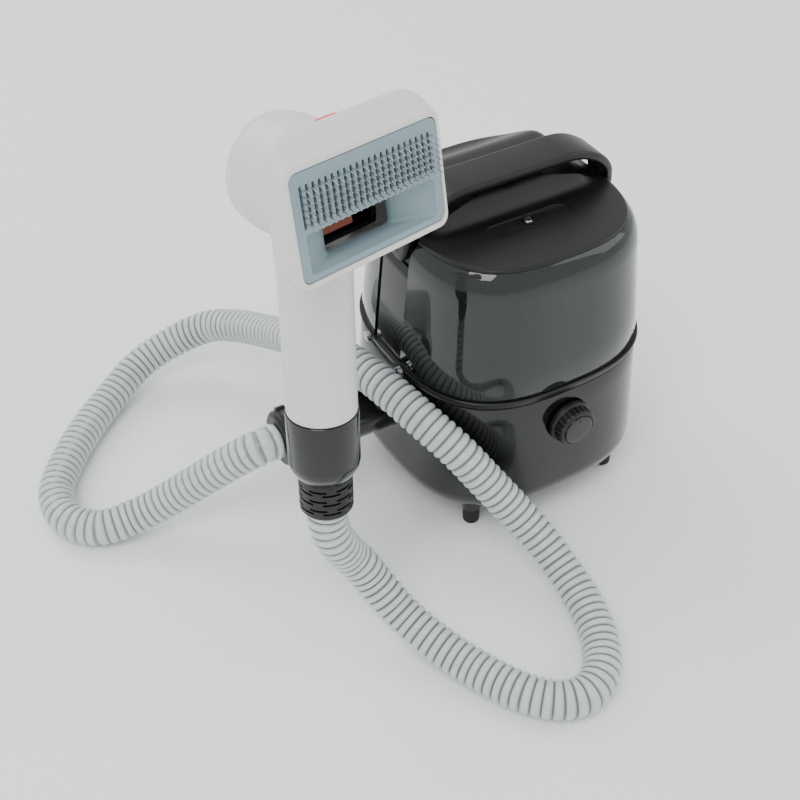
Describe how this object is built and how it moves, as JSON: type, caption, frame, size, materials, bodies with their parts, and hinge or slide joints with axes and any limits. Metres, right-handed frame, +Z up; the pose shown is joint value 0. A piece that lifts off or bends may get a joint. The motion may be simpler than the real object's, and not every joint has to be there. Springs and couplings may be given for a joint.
{
  "type": "pet grooming dryer",
  "caption": "Canister pet grooming dryer and vacuum with a smoke-clear bin, carry handle, ribbed hose and a pin brush handset",
  "frame": {"origin": "on the floor, under the middle of the box around everything but the hose", "axes": "+Z up; the canister's knob faces -Y; +X is to the right when facing the knob"},
  "size_m": [0.518, 0.5606, 0.4744],
  "materials": {
    "white_abs": "satin",
    "blue_grey_abs": "satin",
    "orange_abs": "satin",
    "gloss_black": "gloss",
    "satin_black": "satin",
    "smoke_clear": "clear smoke",
    "rubber_black": "matte",
    "filter_paper": "matte",
    "bright_steel": "polished",
    "motor_steel": "satin",
    "circuit_green": "satin",
    "hose_grey": "semi gloss",
    "brown_abs": "satin"
  },
  "bodies": {
    "root": {"base_housing": "gloss_black", "base_plate": "satin_black", "control_board": "circuit_green", "exhaust_filter": "filter_paper", "exhaust_grille": "satin_black", "fan_shroud": "satin_black", "foot_front_left": "rubber_black", "foot_front_right": "rubber_black", "foot_rear_left": "rubber_black", "foot_rear_right": "rubber_black", "hose": "hose_grey", "inlet_chamber": "satin_black", "inlet_pipe": "satin_black", "knob_switch": "motor_steel", "mains_inlet": "satin_black", "motor": "motor_steel", "motor_mount": "rubber_black"},
    "fan": {"motor_shaft": "bright_steel", "fan_impeller": "white_abs"},
    "knob": {"control_knob": "satin_black", "knob_cap": "gloss_black"},
    "bin": {"bin_collar": "satin_black", "dust_bin": "smoke_clear", "riser_duct": "gloss_black", "riser_screw_front": "bright_steel", "riser_screw_rear": "bright_steel", "filter_stand": "satin_black", "pleated_filter": "filter_paper", "filter_cap": "brown_abs"},
    "lid": {"lid": "satin_black", "lid_seal": "rubber_black", "button_well": "satin_black", "lid_button_ring": "gloss_black", "lid_button_spring": "bright_steel", "handle_pivot_left": "bright_steel", "handle_pivot_right": "bright_steel"},
    "lid_button": {"lid_button": "bright_steel"},
    "handle": {"carry_handle": "satin_black"},
    "connector": {"hose_connector": "satin_black"},
    "cuff": {"hose_cuff": "satin_black"},
    "collar": {"swivel_collar": "gloss_black"},
    "handset": {"handle_tube": "white_abs", "head_shell": "white_abs", "face_plate": "blue_grey_abs", "head_duct": "satin_black", "airway_guide": "brown_abs"},
    "release_button": {"release_button": "orange_abs"},
    "pins": {"pin_carrier": "bright_steel"}
  },
  "joints": [
    {"name": "fan_spin", "type": "hinge", "parent": "root", "child": "fan", "pos_m": [0.08059, 0.0301, 0.098], "axis": [0, 0, 1], "continuous": true},
    {"name": "knob_turn", "type": "hinge", "parent": "root", "child": "knob", "pos_m": [0.08059, -0.08246, 0.112], "axis": [0, -1, 0], "range_deg": [-135, 135]},
    {"name": "connector_twist", "type": "hinge", "parent": "root", "child": "connector", "pos_m": [-0.13541, 0.0346, 0.0965], "axis": [1, 0, 0], "range_deg": [0, 30]},
    {"name": "bin_lift", "type": "slide", "parent": "root", "child": "bin", "axis": [0, 0, 1], "range_m": [0, 0.12]},
    {"name": "lid_lift", "type": "slide", "parent": "bin", "child": "lid", "axis": [0, 0, 1], "range_m": [0, 0.12]},
    {"name": "handle_fold", "type": "hinge", "parent": "lid", "child": "handle", "pos_m": [0.08059, 0.0301, 0.259], "axis": [1, 0, 0], "range_deg": [0, 15]},
    {"name": "lid_button_press", "type": "slide", "parent": "lid", "child": "lid_button", "axis": [0, 0, -1], "range_m": [0, 0.002], "stiffness_N_per_m": 400, "deforming": ["lid_button_spring"]},
    {"name": "handset_lift", "type": "slide", "parent": "root", "child": "cuff", "axis": [0, 0, 1], "range_m": [0, 0.1]},
    {"name": "cuff_swivel", "type": "hinge", "parent": "cuff", "child": "collar", "pos_m": [-0.15141, -0.08589, 0.2354], "axis": [0.0559, 0.1137, 0.9919], "continuous": true},
    {"name": "tool_release", "type": "slide", "parent": "collar", "child": "handset", "axis": [0.0559, 0.1137, 0.9919], "range_m": [0, 0.03]},
    {"name": "release_press", "type": "slide", "parent": "handset", "child": "release_button", "axis": [0.0607, -0.5087, -0.8588], "range_m": [0, 0.004], "stiffness_N_per_m": 600},
    {"name": "pin_retract", "type": "slide", "parent": "handset", "child": "pins", "axis": [-0.2691, 0.9317, -0.2441], "range_m": [0, 0.009]}
  ],
  "couplings": [
    {"joint": "pin_retract", "follows": "release_press", "ratio": 2.25}
  ]
}
